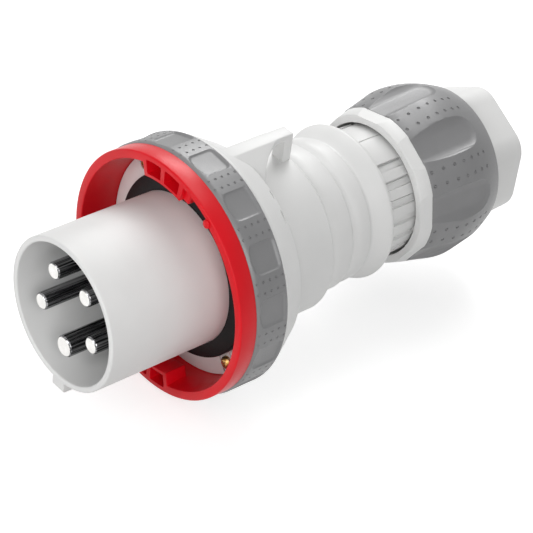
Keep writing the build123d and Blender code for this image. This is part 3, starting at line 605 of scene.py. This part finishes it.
for i in range(6):
    middle = n["noseAngle"] + 60 * i
    for j in range(-6, 7):
        turn = math.radians(middle + 5 * j)
        centre = math.radians(middle)
        rim.append((n["coreEnd"] - 2, reach * math.cos(centre) + n["noseCorner"] * math.cos(turn),
                    reach * math.sin(centre) + n["noseCorner"] * math.sin(turn)))
share = (n["noseFlat"] - n["noseTaper"]) / n["noseFlat"]
nose = pushed("nutNose", rim, (n["end"] - n["coreEnd"] + 2, 0, 0), (1, share, share), (n["end"], 0, 0))
edit(nose)
pickEdges(nose, lambda edge: all(v.co.x > mm(n["end"] - 0.01) for v in edge.verts))
bpy.ops.mesh.bevel(offset=mm(n["noseEdge"]), segments=5, affect="EDGES")
tidyFaces()
leaveEdit()
carve(nut, nose, "UNION")
carve(nut, turned("nutBore", [
    (n["front"] - 1, 0, 0), (n["front"] - 1, n["mouth"], 0), (n["mouthEnd"], n["mouth"], 0), (n["mouthEnd"], n["bore"], 0),
    (n["boreEnd"], n["bore"], 0),
    (n["boreEnd"], n["cone"], 0), (n["coneEnd"], n["coneSmall"], 0), (n["coneEnd"], n["exit"], 0.4), (n["end"] - 0.5, n["exit"], 0.6),
    (n["end"] + 1, n["exit"] + 1.5, 0), (n["end"] + 1, 0, 0)], steps=120, closed=False))
settle(nut, whiteShell, "white_shell", "gland", "gland_nut")
print("gland nut done")

# Grip on the gland nut: long finger flutes between ribs with two rows of dots
nutGripSizes = dict(
    front=181.0, frontRadius=37.5, outline=[(189.0, 39.2, 2.5), (199.0, 41.6, 4.0), (209.0, 40.9, 4.0), (217.5, 38.6, 3.0)],
    end=225.1, endRadius=35.4, inner=34.6, fluteHalf=7.1, fluteFloor=36.5, fluteEnd=216.0, fluteHeight=6.5, fluteSpread=4.0,
    fluteTilt=3.2, fluteRound=3.2,
    dotPlaces=[(183.0, 37.9), (189.3, 39.2), (195.1, 40.6), (200.4, 41.35), (205.5, 41.1), (210.3, 40.4), (214.7, 39.3)],
    dotAngle=4.9, dotRadius=0.85, dotDepth=0.8)
h = nutGripSizes
nutGrip = turned("glandNutGrip", [
    (h["front"], h["inner"], 0), (h["front"], h["frontRadius"], 0.3)] + h["outline"] + [
    (h["end"], h["endRadius"], 0.6), (h["end"], 24, 0), (n["coreEnd"], 24, 0), (n["coreEnd"], h["inner"], 0)], steps=240)
room = pushed("noseRoom", [(n["coreEnd"] - 1, y * 1.003, z * 1.003) for _, y, z in rim], (10, 0, 0))
carve(nutGrip, room)
halfWidth, tail = h["fluteHalf"], h["fluteEnd"] - h["fluteHalf"]
fluteTurns = [math.radians(a) for a in range(0, 181, 15)]
fluteOutline = [(tail + halfWidth * math.sin(a), halfWidth * math.cos(a)) for a in fluteTurns]
fluteFront = h["front"] - 1
fluteLength = h["fluteEnd"] - fluteFront
fluteOutline = [(fluteFront, halfWidth)] + fluteOutline + [(fluteFront, -halfWidth)]
flute = pushed("flute", [(x, y, h["fluteFloor"]) for x, y in fluteOutline], (0, 0, h["fluteHeight"]),
               ((fluteLength + h["fluteSpread"]) / fluteLength, 1 + h["fluteSpread"] / halfWidth, 1), (fluteFront, 0, h["fluteFloor"]))
edit(flute)
pickEdges(flute, lambda edge: all(v.co.z < mm(h["fluteFloor"] + 0.01) and v.co.x > mm(fluteFront - 0.01) for v in edge.verts)
          and any(v.co.x > mm(fluteFront + 1) for v in edge.verts))
bpy.ops.mesh.bevel(offset=mm(h["fluteRound"]), segments=5, affect="EDGES")
tidyFaces()
bpy.ops.transform.rotate(value=math.radians(h["fluteTilt"]), orient_axis="Y",
                         center_override=(mm(fluteFront), 0, mm(h["fluteFloor"])))
leaveEdit()
turnMesh(flute, -90)
carve(nutGrip, joined([twin(flute, "flute", n["lobeAngle"] + i * 45) for i in range(8)]))
bpy.data.objects.remove(flute)
softenEdges(nutGrip, 0.35)
dot = dimpleTool(0, h["dotRadius"] - h["dotDepth"], h["dotRadius"])
dots = []
for rib in range(8):
    for side in (-h["dotAngle"], h["dotAngle"]):
        for x, radius in h["dotPlaces"]:
            dots.append(twin(dot, "dot", n["lobeAngle"] + (rib + 0.5) * 45 + side, (x, radius, 0)))
bpy.data.objects.remove(dot)
carve(nutGrip, joined(dots))
settle(nutGrip, softGrip, "grey_grip", "gland", "nut_grip")
print("nut grip done")

# CAD pieces inside keep their shape and get their finish
for nodeName, finish in [
    ("pin_carrier", greyInsulator), ("terminal_housing", greyInsulator), ("terminal_screws", zincSteel), ("carrier_screws", zincSteel),
    ("body_seal", blackRubber), ("cable_seal", blackRubber), ("thrust_washer", clampPlastic), ("cable_clamp", clampPlastic)]:
    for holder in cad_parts[nodeName].material_slots:
        holder.material = finish
print("inner pieces finished")


# 1 for rays that see the stage, straight or by reflection, and 0 for those that only carry its light
def seenDirectly(tree):
    rays = addNode(tree, "ShaderNodeLightPath").outputs
    seen = addNode(tree, "ShaderNodeMath", {0: rays["Is Camera Ray"], 1: rays["Is Glossy Ray"]}, operation="MAXIMUM")
    seen = addNode(tree, "ShaderNodeMath", {0: seen.outputs[0], 1: rays["Is Transmission Ray"]}, operation="MAXIMUM")
    return seen.outputs[0]


# Floor, plain and pale; seen directly it is brightened to white, but keeps the shadow
floorSizes = dict(top=-58.2, size=6000, colour="#CCCCCC", lift=0.64)
bpy.ops.object.select_all(action="DESELECT")
bpy.ops.mesh.primitive_plane_add(size=mm(floorSizes["size"]), location=(0, 0, mm(floorSizes["top"])))
floor = bpy.context.object
floor.name = "studioFloor"
floorFinish = bpy.data.materials.new("studioFloorPaper")
floorFinish.use_nodes = True
tree = floorFinish.node_tree
shader = tree.nodes["Principled BSDF"]
shader.inputs["Base Color"].default_value = linear(floorSizes["colour"])
shader.inputs["Roughness"].default_value = 0.9
lift = addNode(tree, "ShaderNodeMath", {0: seenDirectly(tree), 1: floorSizes["lift"]}, operation="MULTIPLY")
glow = addNode(tree, "ShaderNodeEmission", {"Color": (1, 1, 1, 1), "Strength": lift.outputs[0]})
both = addNode(tree, "ShaderNodeAddShader", {0: shader.outputs[0], 1: glow.outputs[0]})
tree.links.new(both.outputs[0], tree.nodes["Material Output"].inputs["Surface"])
floor.data.materials.append(floorFinish)

# Light: soft boxes above, behind, in front of the sleeve and on the camera's side, and a plain surround
lightSizes = [
    dict(name="topBox", place=(450, 200, 900), aim=(120, 0, 0), width=500, power=2.5),
    dict(name="backBox", place=(700, 620, 640), aim=(100, 0, 0), width=420, power=4.8),
    dict(name="frontBox", place=(-900, 0, 500), aim=(50, 0, 0), width=600, power=4.1),
    dict(name="sideBox", place=(-500, -850, 550), aim=(100, 0, 0), width=600, power=4.8)]
for item in lightSizes:
    spot = Vector([mm(v) for v in item["place"]])
    away = spot - Vector([mm(v) for v in item["aim"]])
    bpy.ops.object.light_add(type="AREA", location=spot, rotation=away.to_track_quat("Z", "Y").to_euler())
    lamp = bpy.context.object
    lamp.name = item["name"]
    lamp.data.size = mm(item["width"])
    lamp.data.energy = item["power"]

world = bpy.data.worlds.new("studioSurround")
bpy.context.scene.world = world
world.use_nodes = True
tree = world.node_tree
worldLight = dict(level=0.27, white=1.0)
level = addNode(tree, "ShaderNodeMapRange", {"Value": seenDirectly(tree), "To Min": worldLight["level"], "To Max": worldLight["white"]})
backdrop = tree.nodes["Background"]
backdrop.inputs["Color"].default_value = (1, 1, 1, 1)
tree.links.new(level.outputs["Result"], backdrop.inputs["Strength"])
bpy.context.scene.view_settings.view_transform = "Standard"
print("stage and light ready")
